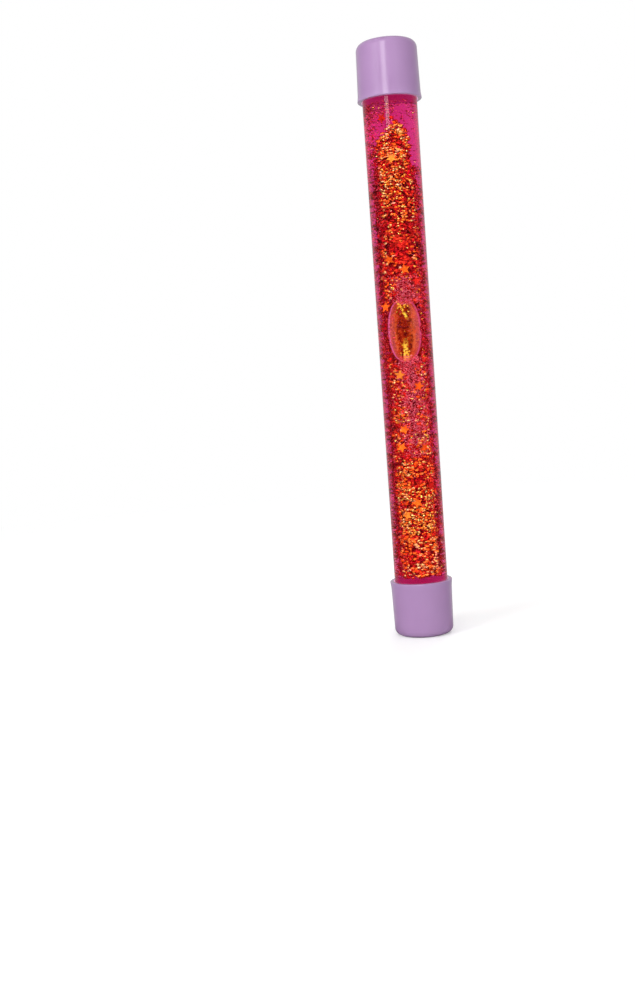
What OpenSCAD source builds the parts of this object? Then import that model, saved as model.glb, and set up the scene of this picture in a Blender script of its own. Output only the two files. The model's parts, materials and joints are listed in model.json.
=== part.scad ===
// Glitter wand: a clear tube of tinted liquid, closed at each end by a soft plug
// under a moulded cap. An air bubble, foil stars and glitter drift in the liquid.
// The wand stands on its bottom cap, with its axis on Z and its front towards -Y.

/* [Tube] */
// Outside diameter of the clear tube
tube_d = 16; // [13:0.5:24]
// Wall of the clear tube
tube_wall = 1; // [0.8:0.1:1.6]
// Length of the clear tube
tube_len = 169; // [130:1:240]
// Bevel on the edges of the tube's ends
tube_bevel = 0.15; // [0.05:0.05:0.2]

/* [Caps] */
// Length of a cap
cap_len = 16.6; // [13:0.1:26]
// Thickness of a cap's closed end
cap_end = 1.8; // [1.2:0.1:3]
// Thickness of a cap's side wall at its rim
cap_wall = 1.2; // [1:0.05:2]
// How far a cap's side draws in from its rim to its closed end
cap_draft = 0.4; // [0.1:0.05:0.6]
// Radius of the rounded edge of a cap's closed end
cap_edge_r = 2.2; // [1:0.1:3]
// Height of the flared lip at a cap's rim
lip_h = 1.8; // [0.8:0.1:3]
// How far the lip flares out from a cap's side
lip_proud = 0.15; // [0.05:0.01:0.3]
// Lead-in bevel inside a cap's mouth
cap_lead = 0.3; // [0.1:0.05:0.5]

/* [Plugs] */
// Thickness of a plug's flange
flange_h = 1.2; // [0.8:0.1:2]
// How far a flange's rim stays inside the tube's outside
flange_inset = 0.45; // [0.4:0.05:0.6]
// Length of a plug's stem inside the tube
stem_len = 7; // [5:0.5:10]
// Height of the sealing ribs round a stem
rib_h = 0.35; // [0.2:0.05:0.5]
// Number of sealing ribs round a stem
rib_count = 3; // [1:1:4]
// Wall round a plug's hollow
plug_wall = 1.4; // [1:0.1:2]
// Floor of a plug's hollow
plug_floor = 1.2; // [0.8:0.1:2]

/* [Bubble] */
// Length of the air bubble
bubble_len = 18.4; // [12:0.2:26]
// Liquid between the bubble and the innermost glitter
bubble_gap = 0.5; // [0.2:0.05:1]
// Place of the bubble's middle, as a share of the liquid's height
bubble_height_share = 0.526; // [0.3:0.001:0.7]
// Fullness of the bubble's upper end: 1 is an ellipse, and less is blunter
bubble_end_share = 0.72; // [0.6:0.01:1]
// Fullness of the bubble's lower end
bubble_tail_share = 0.88; // [0.6:0.01:1]

/* [Stars] */
// Diameter of a foil star over its points
star_d = 3.2; // [2:0.1:3.6]
// Thickness of a foil star
star_t = 0.15; // [0.1:0.05:0.3]
// Inner corners of a star, as a share of its radius
star_waist_share = 0.45; // [0.38:0.01:0.6]
// Lean of a star away from facing straight out
star_tilt = 12; // [0:1:20]

/* [Glitter] */
// Diameter of a glitter flake over its corners
flake_d = 1.1; // [0.6:0.1:1.4]
// Thickness of a glitter flake
flake_t = 0.1; // [0.05:0.05:0.2]
// Number of flakes of each colour
flakes_each = 120; // [10:1:150]
// Depth of the layer that the flakes' middles lie in
glitter_layer = 0.6; // [0:0.1:0.8]
// How far the glitter can drift up or down
glitter_drift = 6.5; // [2:0.5:10]

/* [Fits] */
// Gap between a cap's bore and the tube
cap_gap = 0.05; // [0.02:0.01:0.1]
// Gap between a plug's ribs and the tube's bore
plug_gap = 0.05; // [0.02:0.01:0.1]
// Gap on each side of a glue ring
glue_gap = 0.02; // [0.01:0.01:0.05]
// Gap between the liquid and the tube's bore
liquid_gap = 0.05; // [0.02:0.01:0.1]
// Gap between the liquid and what floats in it
float_gap = 0.03; // [0.01:0.01:0.05]
// Room kept between the layers that float at different depths
layer_gap = 0.15; // [0.1:0.05:0.3]

/* [Hidden] */
$fn = 96;
// How far a cut runs past the face that it opens
overrun = 1;

// Colours of the pieces
cap_tint = "#B797CC";
tube_tint = [0.96, 0.9, 0.97, 0.35];
plug_tint = "#EFEAF0";
glue_tint = [0.95, 0.93, 0.85, 0.6];
liquid_tint = [0.76, 0.08, 0.42, 0.6];
air_tint = [1, 0.85, 0.93, 0.35];
gold_tint = "#E2B23A";
orange_tint = "#E8641E";
red_tint = "#C4142E";

// Radii from the outside in
tube_r = tube_d / 2;
bore_r = tube_r - tube_wall;
cap_bore_r = tube_r + cap_gap;
rim_r = cap_bore_r + cap_wall;
end_r = rim_r - cap_draft;
flange_r = tube_r - flange_inset;
stem_r = bore_r - plug_gap;
core_r = stem_r - rib_h;
liquid_r = bore_r - liquid_gap;

// Heights: cap end, flange and tube stack up, and the other end mirrors them
tube_z = cap_end + flange_h;
liquid_z = tube_z + stem_len;
wand_len = tube_len + 2 * tube_z;
liquid_len = wand_len - 2 * liquid_z;

// The rounded edge of a cap touches its end face and its drafted side
draft_angle = atan(cap_draft / cap_len);
edge_x = end_r - cap_edge_r * (1 - sin(draft_angle)) / cos(draft_angle);

// Stars face outwards in a layer next to the tube
star_points = 5;
star_r = star_d / 2;
star_reach = star_r * sin(star_tilt) + star_t / 2;
star_orbit_r = sqrt(pow(liquid_r - layer_gap, 2) - pow(star_r, 2)) - star_reach;

// Flakes lie any way round in a layer inside the stars, and the bubble inside them
flake_reach = sqrt(pow(flake_d, 2) + pow(flake_t, 2)) / 2;
flake_orbit_r = star_orbit_r - star_reach - layer_gap - flake_reach;
bubble_r = flake_orbit_r - glitter_layer - flake_reach - bubble_gap;
bubble_steps = 32;

// The golden turn spreads pieces round the axis without lining them up
golden_turn = 137.5;
golden_share = 0.618;
flake_roll_turn = 101;
flake_pitch_turn = 67;
front_turn = -90;

// Places of the stars: height as a share of the liquid's, and turn from the front
star_height_shares = [
    0.92, 0.845, 0.685, 0.66, 0.64, 0.617, 0.573, 0.443, 0.42, 0.34, 0.306, 0.302,
    0.229, 0.175, 0.198, 0.88, 0.79, 0.73, 0.58, 0.5, 0.47, 0.36, 0.25, 0.19
];
star_turns = [
    -23, -5, 4, -28, 10, 40, -48, -20, 27, -17, -27, 32,
    44, -24, 4, 110, 200, -95, 160, 95, -130, 190, 120, -110
];
star_tints = [
    red_tint, gold_tint, red_tint, orange_tint, orange_tint, red_tint, orange_tint, gold_tint,
    orange_tint, orange_tint, orange_tint, orange_tint, red_tint, gold_tint, orange_tint, gold_tint,
    orange_tint, red_tint, orange_tint, gold_tint, red_tint, orange_tint, gold_tint, red_tint
];
star_count = len(star_turns);
star_names = [for (i = [1:star_count]) str("star_", i < 10 ? "0" : "", i)];

// Glitter groups take the flakes in turn
glitter_names = ["gold_glitter", "orange_glitter", "red_glitter"];
glitter_tints = [gold_tint, orange_tint, red_tint];
glitter_count = len(glitter_names);
flake_count = flakes_each * glitter_count;
flake_margin = glitter_drift + flake_reach + layer_gap;
// Flakes that face the front by more than this share leave the bubble in view
open_view_share = 0.3;

// Part of a number after its whole part
function fraction(x) = x - floor(x);

// Radius of a cap's drafted side at a height above its closed end
function cap_side_r(z) = end_r + cap_draft * z / cap_len;

// Height of a piece that floats at a share of the liquid's height
function float_z(height_share) = liquid_z + liquid_len * height_share;

// Height of a flake, spread evenly over what the drift leaves free
function flake_z(k) =
    liquid_z + flake_margin + (liquid_len - 2 * flake_margin) * (k + 0.5) / flake_count;

// Whether a flake would lie in front of the bubble
function hides_bubble(k) =
    abs(flake_z(k) - float_z(bubble_height_share)) < bubble_len / 2
    && cos(k * golden_turn - front_turn) > open_view_share;

// Flakes from a first one on, by steps, but for those in front of the bubble
function shown_flakes(first, step) = [
    for (k = [first:step:flake_count - 1]) if (!hides_bubble(k)) k
];

// Turns a piece of the bottom end over to the top end
module at_top() {
    translate([0, 0, wand_len]) mirror([0, 0, 1]) children();
}

// Half section of a cap standing on its closed end
module cap_profile() {
    difference() {
        union() {
            polygon([
                [0, 0],
                [edge_x, 0],
                [edge_x + cap_edge_r * cos(draft_angle), cap_edge_r * (1 - sin(draft_angle))],
                [cap_side_r(cap_len - lip_h), cap_len - lip_h],
                [rim_r + lip_proud, cap_len - lip_proud],
                [rim_r, cap_len],
                [0, cap_len]
            ]);
            translate([edge_x, cap_edge_r]) circle(cap_edge_r);
        }
        polygon([
            [0, cap_end],
            [cap_bore_r, cap_end],
            [cap_bore_r, cap_len - cap_lead],
            [cap_bore_r + cap_lead, cap_len],
            [cap_bore_r + cap_lead, cap_len + overrun],
            [0, cap_len + overrun]
        ]);
    }
}

module cap() {
    color(cap_tint) rotate_extrude() cap_profile();
}

// Half section of a plug: flange, ribbed stem with a lead-in, hollow from outside
module plug_profile() {
    plug_len = flange_h + stem_len;
    difference() {
        union() {
            square([flange_r, flange_h]);
            polygon([
                [0, 0],
                [core_r, 0],
                [core_r, plug_len - rib_h],
                [core_r - rib_h, plug_len],
                [0, plug_len]
            ]);
            for (i = [1:rib_count])
                translate([core_r, flange_h + stem_len * i / (rib_count + 1)]) circle(rib_h);
        }
        translate([0, -overrun])
            square([core_r - plug_wall, plug_len - plug_floor + overrun]);
    }
}

module plug() {
    color(plug_tint) translate([0, 0, cap_end]) rotate_extrude() plug_profile();
}

// Bead of glue round a flange, between the tube's end and the cap
module glue_ring() {
    color(glue_tint) translate([0, 0, cap_end]) rotate_extrude()
        translate([flange_r + glue_gap, 0])
            square([cap_bore_r - flange_r - 2 * glue_gap, flange_h]);
}

module tube() {
    top_z = tube_z + tube_len;
    color(tube_tint) rotate_extrude() polygon([
        [bore_r + tube_bevel, tube_z],
        [tube_r - tube_bevel, tube_z],
        [tube_r, tube_z + tube_bevel],
        [tube_r, top_z - tube_bevel],
        [tube_r - tube_bevel, top_z],
        [bore_r + tube_bevel, top_z],
        [bore_r, top_z - tube_bevel],
        [bore_r, tube_z + tube_bevel]
    ]);
}

// Drop of revolution: its radius is a power of the sine along its length
module bubble_solid(gap) {
    half_len = bubble_len / 2 + gap;
    translate([0, 0, float_z(bubble_height_share)]) rotate_extrude() polygon([
        for (i = [0:bubble_steps])
            let (
                a = 180 * i / bubble_steps,
                fullness = a < 90 ? bubble_tail_share : bubble_end_share
            )
                [(bubble_r + gap) * pow(abs(sin(a)), fullness), -half_len * cos(a)]
    ]);
}

module air_bubble() {
    color(air_tint) bubble_solid(0);
}

// Flat foil star, facing outwards with a lean that differs from star to star
module star_solid(i, gap) {
    translate([0, 0, float_z(star_height_shares[i])])
        rotate([0, 0, front_turn + star_turns[i]])
            translate([star_orbit_r, 0, 0])
                rotate([0, 90, 0])
                    rotate([
                        star_tilt * cos(i * golden_turn),
                        star_tilt * sin(i * golden_turn),
                        i * golden_turn
                    ])
                        linear_extrude(star_t + 2 * gap, center = true)
                            polygon([
                                for (p = [0:2 * star_points - 1])
                                    let (
                                        r = gap + star_r * (p % 2 == 0 ? 1 : star_waist_share),
                                        a = 180 * p / star_points
                                    )
                                        [r * cos(a), r * sin(a)]
                            ]);
}

module star(i) {
    color(star_tints[i]) star_solid(i, 0);
}

// Six-sided flake, tumbled by its number
module flake_solid(k, gap) {
    translate([0, 0, flake_z(k)])
        rotate([0, 0, k * golden_turn])
            translate([flake_orbit_r - glitter_layer * fraction(k * golden_share), 0, 0])
                rotate([k * flake_roll_turn, k * flake_pitch_turn, 0])
                    linear_extrude(flake_t + 2 * gap, center = true)
                        circle(d = flake_d + 2 * gap, $fn = 6);
}

module glitter(group) {
    color(glitter_tints[group])
        for (k = shown_flakes(group, glitter_count)) flake_solid(k, 0);
}

// Fills the tube between the plugs, round everything that floats in it
module liquid() {
    color(liquid_tint) difference() {
        translate([0, 0, liquid_z]) cylinder(h = liquid_len, r = liquid_r);
        bubble_solid(float_gap);
        for (i = [0:star_count - 1]) star_solid(i, float_gap);
        for (k = shown_flakes(0, 1)) flake_solid(k, float_gap);
    }
}

tube();
at_top() cap();  // top_cap
cap();  // bottom_cap
at_top() plug();  // top_plug
plug();  // bottom_plug
at_top() glue_ring();  // top_glue_ring
glue_ring();  // bottom_glue_ring
liquid();
air_bubble();
for (g = [0:glitter_count - 1])
    glitter(g);
for (i = [0:star_count - 1])
    star(i);
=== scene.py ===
"""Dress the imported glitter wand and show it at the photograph's viewing angle.

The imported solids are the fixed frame. The tube, caps, liquid and bubble are redrawn here as fine
surfaces of revolution, thousands of film flakes join the solid ones, and every piece gets a
finish made of nodes. Sizes are in millimetres and become metres where a mesh is filled.
"""
from __future__ import annotations

import json
import logging
import math
from collections.abc import Mapping, Sequence
from dataclasses import dataclass, field
from enum import Enum
from typing import Any, Union

import bpy
import numpy as np
from mathutils import Matrix, Vector

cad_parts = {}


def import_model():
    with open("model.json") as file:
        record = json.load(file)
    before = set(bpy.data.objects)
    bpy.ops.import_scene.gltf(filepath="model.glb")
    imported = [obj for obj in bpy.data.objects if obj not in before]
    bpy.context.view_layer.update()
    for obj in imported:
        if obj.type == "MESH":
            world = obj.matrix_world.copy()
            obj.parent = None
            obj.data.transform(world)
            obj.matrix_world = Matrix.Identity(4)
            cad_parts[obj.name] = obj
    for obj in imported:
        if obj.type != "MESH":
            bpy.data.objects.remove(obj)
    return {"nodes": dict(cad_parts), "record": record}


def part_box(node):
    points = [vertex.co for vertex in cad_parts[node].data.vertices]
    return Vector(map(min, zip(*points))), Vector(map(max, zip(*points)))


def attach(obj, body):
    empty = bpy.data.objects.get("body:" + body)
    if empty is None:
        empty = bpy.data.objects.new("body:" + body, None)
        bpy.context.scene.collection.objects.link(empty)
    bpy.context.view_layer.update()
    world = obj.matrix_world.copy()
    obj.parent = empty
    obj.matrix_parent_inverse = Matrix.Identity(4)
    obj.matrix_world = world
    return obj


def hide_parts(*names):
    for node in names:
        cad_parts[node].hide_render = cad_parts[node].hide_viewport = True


LOG = logging.getLogger("glitter_wand")
MM = 0.001
FULL_TURN = 2.0 * math.pi
SHARP = math.radians(35.0)
CORNERS = 6
SHADE = "flake_shade"
BAKE_MAP = "OFBake"
DARK_FRONT = 0.06
PALE_BACK = 0.5
COLUMN_HEIGHTS = (17.3, 154.5)
STAR_HEIGHTS = (31.0, 153.0)
STAR_LAYER = (5.75, 6.75)
BORE_LAYER = (6.82, 6.93)

Colour = tuple[float, float, float]
Stops = tuple[tuple[float, Colour], ...]
WHITE: Colour = (1.0, 1.0, 1.0)


class Body(Enum):
    """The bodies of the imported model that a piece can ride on."""

    WAND = "wand"
    BUBBLE = "bubble"
    GLITTER = "glitter"
    STARS = "stars"


class End(Enum):
    """The two ends of the wand."""

    BOTTOM = "bottom"
    TOP = "top"


class Slot(Enum):
    """The record's material slots, one named with each new piece."""

    TUBE = "clear_tube"
    CAP = "cap_plastic"
    LIQUID = "tinted_liquid"
    AIR = "air"
    GOLD = "gold_foil"
    ORANGE = "orange_foil"
    RED = "red_foil"


class Crowd(Enum):
    """How the flakes of a cloud gather."""

    COLUMN = "column"
    DARK = "dark"
    BRIGHT = "bright"
    WAKE = "wake"
    BACKING = "backing"
    RIM = "rim"
    HAZE = "haze"


class FoilTone(Enum):
    """The film colours, each as stops from its dullest flake to its brightest."""

    GOLD = (
        (0.0, (0.95, 0.50, 0.04)),
        (0.5, (1.0, 0.72, 0.10)),
        (0.85, (1.0, 0.88, 0.16)),
        (1.0, (1.0, 0.96, 0.3)),
    )
    ORANGE = ((0.0, (0.88, 0.16, 0.01)), (0.5, (1.0, 0.36, 0.02)), (1.0, (1.0, 0.55, 0.06)))
    RED = ((0.0, (0.5, 0.014, 0.012)), (0.6, (0.62, 0.038, 0.014)), (1.0, (0.82, 0.12, 0.026)))
    CRIMSON = ((0.0, (0.4, 0.006, 0.012)), (0.6, (0.58, 0.014, 0.02)), (1.0, (0.8, 0.05, 0.05)))
    PALE = (
        (0.0, (1.0, 0.92, 0.14)),
        (0.35, (1.0, 1.0, 0.2)),
        (0.7, (0.85, 1.0, 0.22)),
        (1.0, (1.0, 1.0, 0.32)),
    )
    MAUVE = ((0.0, (0.52, 0.09, 0.07)), (0.5, (0.70, 0.17, 0.12)), (1.0, (0.88, 0.31, 0.22)))
    PINK = ((0.0, (0.85, 0.15, 0.13)), (0.5, (0.98, 0.30, 0.23)), (1.0, (1.0, 0.54, 0.44)))

    @property
    def slot(self) -> Slot:
        """The record's slot that this film belongs to."""
        if self in (FoilTone.GOLD, FoilTone.PALE):
            return Slot.GOLD
        return Slot.ORANGE if self is FoilTone.ORANGE else Slot.RED

    @property
    def metal(self) -> float:
        """How metallic this film is. The reds are dyed deeper, and scatter more."""
        return 0.78 if self in (FoilTone.GOLD, FoilTone.ORANGE, FoilTone.PALE) else 0.4


class Socket:
    """A node's output that takes part in Python arithmetic.

    Each operator adds one Math node to the graph that the output belongs to.
    """

    def __init__(self, graph: Graph, out: bpy.types.NodeSocket) -> None:
        """Keep the graph and the output."""
        self.graph = graph
        self.out = out

    def _math(self, operation: str, first: Value, second: Value = 0.0) -> Socket:
        """Add one Math node for the operation on two values."""
        return self.graph.node("ShaderNodeMath", {"operation": operation}, {0: first, 1: second})

    def __add__(self, other: Value) -> Socket:
        """The sum of this and other."""
        return self._math("ADD", self, other)

    __radd__ = __add__

    def __sub__(self, other: Value) -> Socket:
        """This less other."""
        return self._math("SUBTRACT", self, other)

    def __rsub__(self, other: Value) -> Socket:
        """Other less this."""
        return self._math("SUBTRACT", other, self)

    def __mul__(self, other: Value) -> Socket:
        """The product of this and other."""
        return self._math("MULTIPLY", self, other)

    __rmul__ = __mul__

    def __abs__(self) -> Socket:
        """This without its sign."""
        return self._math("ABSOLUTE", self)

    def fraction(self) -> Socket:
        """What is left of this above its whole number."""
        return self._math("FRACT", self)

    def highest(self, other: Value) -> Socket:
        """The larger of this and other."""
        return self._math("MAXIMUM", self, other)

    def step(self, low: float, high: float) -> Socket:
        """A smooth step from 0 at low to 1 at high.

        Args:
            low: The value at which the step starts.
            high: The value at which it ends, which may lie below low.

        Returns:
            The step as a value between 0 and 1.
        """
        return self.graph.node(
            "ShaderNodeMapRange",
            {"interpolation_type": "SMOOTHSTEP"},
            {"Value": self, "From Min": low, "From Max": high},
        )


Value = Union[Socket, float, Sequence[float]]


class Graph:
    """The node tree of a finish or of the world."""

    def __init__(self, tree: bpy.types.NodeTree) -> None:
        """Take over a node tree and empty it."""
        self.tree = tree
        self.tree.nodes.clear()

    def node(
        self,
        kind: str,
        settings: Mapping[str, Any] | None = None,
        sockets: Mapping[int | str, Value] | None = None,
        out: int | str = 0,
    ) -> Socket:
        """Add a node, set it up and fill its sockets.

        Args:
            kind: The node's type.
            settings: Attributes to set first.
            sockets: Values or links for its inputs, by name or place. A colour has 3 parts.
            out: The output to hand back.

        Returns:
            The chosen output, or the node's first input where it has no output.
        """
        made = self.tree.nodes.new(kind)
        for name, value in (settings or {}).items():
            setattr(made, name, value)
        for key, value in (sockets or {}).items():
            entry = made.inputs[key]
            if isinstance(value, Socket):
                self.tree.links.new(value.out, entry)
            else:
                entry.default_value = (*value, 1.0) if entry.type == "RGBA" else value
        return Socket(self, made.outputs[out] if made.outputs else made.inputs[0])

    def ramp(self, stops: Stops, factor: Value) -> Socket:
        """A colour from a row of places and colours, by a factor between 0 and 1."""
        made = self.node("ShaderNodeValToRGB", None, {0: factor})
        elements = made.out.node.color_ramp.elements
        while len(elements) < len(stops):
            elements.new(1.0)
        for element, (place, colour) in zip(elements, stops):
            element.position = place
            element.color = (*colour, 1.0)
        return made

    def place(self) -> Socket:
        """The point on the piece in metres, as a vector."""
        return self.node("ShaderNodeTexCoord", out="Object")

    def part(self, vector: Socket, axis: str) -> Socket:
        """One number out of a vector."""
        return self.node("ShaderNodeSeparateXYZ", None, {0: vector}, out=axis)

    def noise(self, scale: float | Sequence[float], detail: float = 3.0) -> Socket:
        """Cloudy noise between 0 and 1 at so many lumps to the metre, or so many on each axis."""
        lumps = (scale,) * 3 if isinstance(scale, float) else scale
        vector = self.node("ShaderNodeMapping", None, {"Vector": self.place(), "Scale": lumps})
        sockets = {"Vector": vector, "Scale": 1.0, "Detail": detail}
        return self.node("ShaderNodeTexNoise", None, sockets)

    def cells(self, vector: Socket, scale: float) -> Socket:
        """A random vector for each cell, at so many cells to the metre."""
        return self.node("ShaderNodeTexVoronoi", None, {"Vector": vector, "Scale": scale}, out=1)

    def facing(self) -> Socket:
        """0 where the surface faces the eye, and 1 where it is seen edge on."""
        return self.node("ShaderNodeLayerWeight", None, {"Blend": 0.5}, out="Facing")

    def ray(self, kind: str) -> Socket:
        """What is known of the ray that meets the surface."""
        return self.node("ShaderNodeLightPath", out=kind)

    def blend(self, factor: Value, first: Value, second: Value) -> Socket:
        """A colour between two colours."""
        return self.node(
            "ShaderNodeMix", {"data_type": "RGBA"}, {0: factor, 6: first, 7: second}, out=2
        )

    def bump(self, height: Value, strength: float, depth: float) -> Socket:
        """A normal that a height in units of depth metres tips."""
        return self.node(
            "ShaderNodeBump", None, {"Height": height, "Strength": strength, "Distance": depth}
        )

    def principled(self, sockets: Mapping[int | str, Value]) -> Socket:
        """A Principled shader with these inputs."""
        return self.node("ShaderNodeBsdfPrincipled", None, sockets)

    def show(self, sockets: Mapping[int | str, Value]) -> None:
        """Show a Principled surface with these inputs."""
        self.output(self.principled(sockets))

    def output(self, surface: Socket, volume: Socket | None = None) -> None:
        """Show a surface, and what fills it."""
        sockets = {"Surface": surface}
        if volume is not None:
            sockets["Volume"] = volume
        self.node("ShaderNodeOutputMaterial", None, sockets)


class Finish:
    """A surface finish that turns itself into a material once."""

    name: str

    def draw(self, graph: Graph) -> None:
        """Add this finish's nodes to a graph."""
        raise NotImplementedError

    def material(self) -> bpy.types.Material:
        """The finish's material, made on first use.

        Returns:
            The one material with this finish's name.
        """
        found = bpy.data.materials.get(self.name)
        if found is None:
            found = bpy.data.materials.new(self.name)
            found.use_nodes = True
            self.draw(Graph(found.node_tree))
        return found


@dataclass(frozen=True)
class CapPlastic(Finish):
    """Glossy moulded lavender plastic, paler towards its end edge and its lip."""

    name: str = "lavender_plastic"
    middle: float = 0.0875
    edge: tuple[float, float] = (0.0850, 0.0872)
    lip: tuple[float, float] = (0.0726, 0.0714)
    body: Colour = (0.420, 0.250, 0.475)
    paler_edge: Colour = (0.50, 0.33, 0.56)
    deep: Colour = (0.400, 0.235, 0.455)

    def draw(self, graph: Graph) -> None:
        """Mottle the body, pale the edges, and scuff the gloss."""
        place = graph.place()
        away = abs(graph.part(place, "Z") - self.middle)
        mottle = graph.noise(90.0)
        scuff = graph.noise((2600.0, 2600.0, 700.0), 4.0).step(0.6, 0.8)
        # Paler towards the end edge and the lip.
        edge_paling = away.step(*self.edge).highest(away.step(*self.lip)) * (0.35 + 0.6 * mottle)
        tone = graph.blend(mottle.step(0.3, 0.7), self.deep, self.body)
        colour = graph.blend(edge_paling * 0.3, tone, self.paler_edge)
        peel = graph.noise(1400.0, 2.0)
        graph.show({
            "Base Color": colour,
            "Roughness": 0.27 + 0.04 * mottle + 0.05 * scuff + 0.05 * edge_paling,
            "IOR": 1.5,
            "Coat Weight": 0.8,
            "Coat Roughness": 0.15,
            "Normal": graph.bump(peel, 0.12, 0.00002),
        })


@dataclass(frozen=True)
class CapInside(Finish):
    """The inside of a cap, with a painted glow: an emission that lightens the plastic as if light
    came through it.
    """

    name: str = "cap_inside"
    body: Colour = (0.43, 0.255, 0.50)
    # Painted light: the colour of an emission that lightens the inside of the cap, and its strength.
    glow: Colour = (0.50, 0.34, 0.46)
    level: float = 0.95

    def draw(self, graph: Graph) -> None:
        """Cloud the plastic, and paint a glow on it as an emission."""
        cloud = graph.noise(500.0)
        dimmed = tuple(0.8 * part for part in self.glow)
        graph.show({
            "Base Color": self.body,
            "Roughness": 0.4 + 0.15 * cloud,
            # Painted glow: the emission stands in for light coming through the thin plastic.
            "Emission Color": graph.blend(cloud, dimmed, self.glow),
            "Emission Strength": self.level,
        })


@dataclass(frozen=True)
class ClearWall(Finish):
    """The polished outside of the clear tube, with handling smudges and faint draw lines."""

    name: str = "clear_wall"
    tint: Colour = (0.98, 0.91, 0.955)
    edge: Colour = (0.76, 0.40, 0.30)
    index: float = 1.49

    def draw(self, graph: Graph) -> None:
        """Smudge the polish, deepen the wall seen edge on, and run draw lines along the tube."""
        smudge = graph.noise((90.0, 90.0, 45.0), 5.0).step(0.52, 0.75)
        lines = graph.noise((700.0, 700.0, 6.0), 2.0)
        graph.show({
            "Base Color": graph.blend(graph.facing().step(0.2, 0.75), self.tint, self.edge),
            "Roughness": 0.055 + 0.02 * smudge,
            "IOR": self.index,
            "Transmission Weight": 1.0,
            "Normal": graph.bump(lines, 0.002, 0.00001),
        })


@dataclass(frozen=True)
class WettedWall(Finish):
    """The bore of the tube where the liquid wets it, which bends no light."""

    name: str = "wetted_wall"
    tint: Colour = (1.0, 0.985, 0.995)

    def draw(self, graph: Graph) -> None:
        """Let light through, with a trace of film in places."""
        film = graph.noise((120.0, 120.0, 40.0)).step(0.45, 0.8)
        colour = graph.blend(film, WHITE, self.tint)
        graph.output(graph.node("ShaderNodeBsdfTransparent", None, {"Color": colour}))


@dataclass(frozen=True)
class TintedLiquid(Finish):
    """Clear magenta liquid of the tube's own index, deeper the further light goes in it."""

    name: str = "magenta_liquid"
    dye: Colour = (0.89, 0.0, 0.54)
    cloudy: Colour = (1.0, 0.985, 0.995)
    density: float = 272.0

    def draw(self, graph: Graph) -> None:
        """Leave the surface unseen and take light off by depth."""
        cloud = graph.noise(220.0)
        colour = graph.blend(cloud, WHITE, self.cloudy)
        surface = graph.principled(
            {"Base Color": colour, "Roughness": 0.0, "IOR": 1.0, "Transmission Weight": 1.0}
        )
        depth = {"Color": self.dye, "Density": self.density}
        graph.output(surface, graph.node("ShaderNodeVolumeAbsorption", None, depth))


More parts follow.
